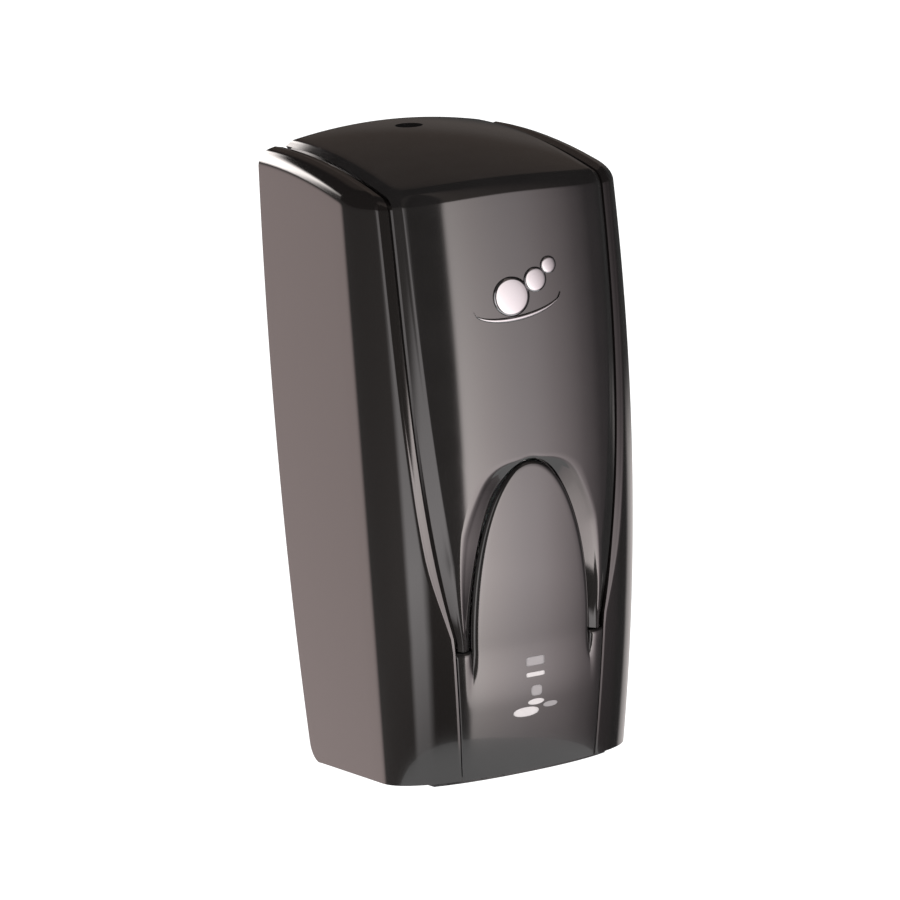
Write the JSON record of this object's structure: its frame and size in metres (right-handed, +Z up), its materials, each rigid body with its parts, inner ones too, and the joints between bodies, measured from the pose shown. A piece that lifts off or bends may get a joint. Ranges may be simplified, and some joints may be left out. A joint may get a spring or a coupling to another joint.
{
  "type": "soap dispenser",
  "caption": "Wall mounted touch-free foam soap dispenser: arched gloss cover with a grooved centre shield and a tongue-shaped thumb panel, hinged at its foot.",
  "frame": {"origin": "centre of the back plate's flat rear face, which lies on the wall", "axes": "+Z up, +Y into the wall, +X to the right of a person who faces the dispenser; the front faces -Y"},
  "size_m": [0.1314, 0.1321, 0.2979],
  "materials": {
    "black_gloss": "smooth high-gloss moulded ABS",
    "black_pearl": "high gloss with a fine grey pearl",
    "black_matt": "fine spark texture",
    "dark_grey_abs": "fine texture",
    "white_plastic": "smooth moulded polypropylene",
    "nylon": "natural acetal, slightly waxy",
    "pouch_film": "flexible translucent film",
    "circuit_board": "solder mask over fibreglass",
    "chip_black": "moulded epoxy",
    "cell_sleeve": "shrink sleeve",
    "clear_lens": "clear epoxy",
    "smoked_window": "dark red infrared-passing acrylic",
    "red_insulation": "PVC insulation",
    "black_insulation": "PVC insulation",
    "steel": "plain bright steel",
    "polished_steel": "polished",
    "brass": "machined"
  },
  "bodies": {
    "base": {"back_plate": "dark_grey_abs", "hinge_pin_left": "steel", "hinge_pin_right": "steel", "drive_base": "dark_grey_abs", "drive_housing": "black_matt", "drive_floor": "black_matt", "housing_screw_1": "steel", "housing_screw_2": "steel", "housing_screw_3": "steel", "housing_screw_4": "steel", "output_axle": "steel", "middle_axle": "steel", "motor": "steel", "motor_bracket": "steel", "guide_rod_left": "steel", "guide_rod_right": "steel", "soap_pouch": "pouch_film", "pump_collar": "white_plastic", "pump_chamber": "white_plastic", "pump_spring": "steel", "battery_box": "black_matt", "battery_1": "cell_sleeve", "battery_2": "cell_sleeve", "battery_3": "cell_sleeve", "battery_4": "cell_sleeve", "base_contact_left": "steel", "base_contact_right": "steel", "lid_pin": "steel", "control_board": "circuit_board", "controller_chip": "chip_black", "smoothing_capacitor": "cell_sleeve", "wire_connector": "white_plastic", "sensor_board": "circuit_board", "infrared_emitter": "clear_lens", "infrared_receiver": "clear_lens", "sensor_window": "smoked_window", "motor_lead_red": "red_insulation", "motor_lead_black": "black_insulation"},
    "cover": {"front_cover": "black_gloss", "shield": "black_pearl", "thumb_panel": "black_pearl", "badge": "polished_steel", "lock_barrel": "polished_steel"},
    "lock_plug": {"lock_plug_and_cam": "polished_steel"},
    "fork": {"fork_carriage": "white_plastic"},
    "nozzle": {"foam_nozzle": "white_plastic", "pump_piston": "white_plastic"},
    "output_gear": {"output_gear": "nylon"},
    "middle_gear": {"middle_gear": "nylon"},
    "motor_shaft": {"motor_pinion": "brass"},
    "lid": {"battery_lid": "black_matt", "lid_contact_left": "steel", "lid_contact_middle": "steel", "lid_contact_right": "steel"}
  },
  "joints": [
    {"name": "cover_hinge", "type": "hinge", "parent": "base", "child": "cover", "pos_m": [0, -0.009, -0.151], "axis": [1, 0, 0], "range_deg": [0, 95]},
    {"name": "lock_turn", "type": "hinge", "parent": "cover", "child": "lock_plug", "pos_m": [0, -0.026, 0.125], "axis": [0, 0, -1], "range_deg": [0, 90]},
    {"name": "fork_lift", "type": "slide", "parent": "base", "child": "fork", "axis": [0, 0, 1], "range_m": [0, 0.012]},
    {"name": "nozzle_lift", "type": "slide", "parent": "base", "child": "nozzle", "axis": [0, 0, 1], "range_m": [0, 0.012], "stiffness_N_per_m": 600, "springref_m": -0.005, "deforming": ["pump_spring"]},
    {"name": "output_gear_turn", "type": "hinge", "parent": "base", "child": "output_gear", "pos_m": [-0.0226, -0.04, -0.108], "axis": [0, -1, 0], "range_deg": [0, 123]},
    {"name": "middle_gear_turn", "type": "hinge", "parent": "base", "child": "middle_gear", "pos_m": [-0.02971, -0.03, -0.08845], "axis": [0, -1, 0], "range_deg": [-410, 0]},
    {"name": "motor_turn", "type": "hinge", "parent": "base", "child": "motor_shaft", "pos_m": [-0.03935, -0.03, -0.07469], "axis": [0, -1, 0], "range_deg": [0, 1501]},
    {"name": "battery_lid_hinge", "type": "hinge", "parent": "base", "child": "lid", "pos_m": [0, -0.0075, 0.0097], "axis": [-1, 0, 0], "range_deg": [0, 90]}
  ],
  "couplings": [
    {"joint": "nozzle_lift", "follows": "fork_lift", "ratio": 1},
    {"joint": "output_gear_turn", "follows": "fork_lift", "rad_per_m": 178.57},
    {"joint": "middle_gear_turn", "follows": "fork_lift", "rad_per_m": -595.24},
    {"joint": "motor_turn", "follows": "fork_lift", "rad_per_m": 2182.5}
  ]
}
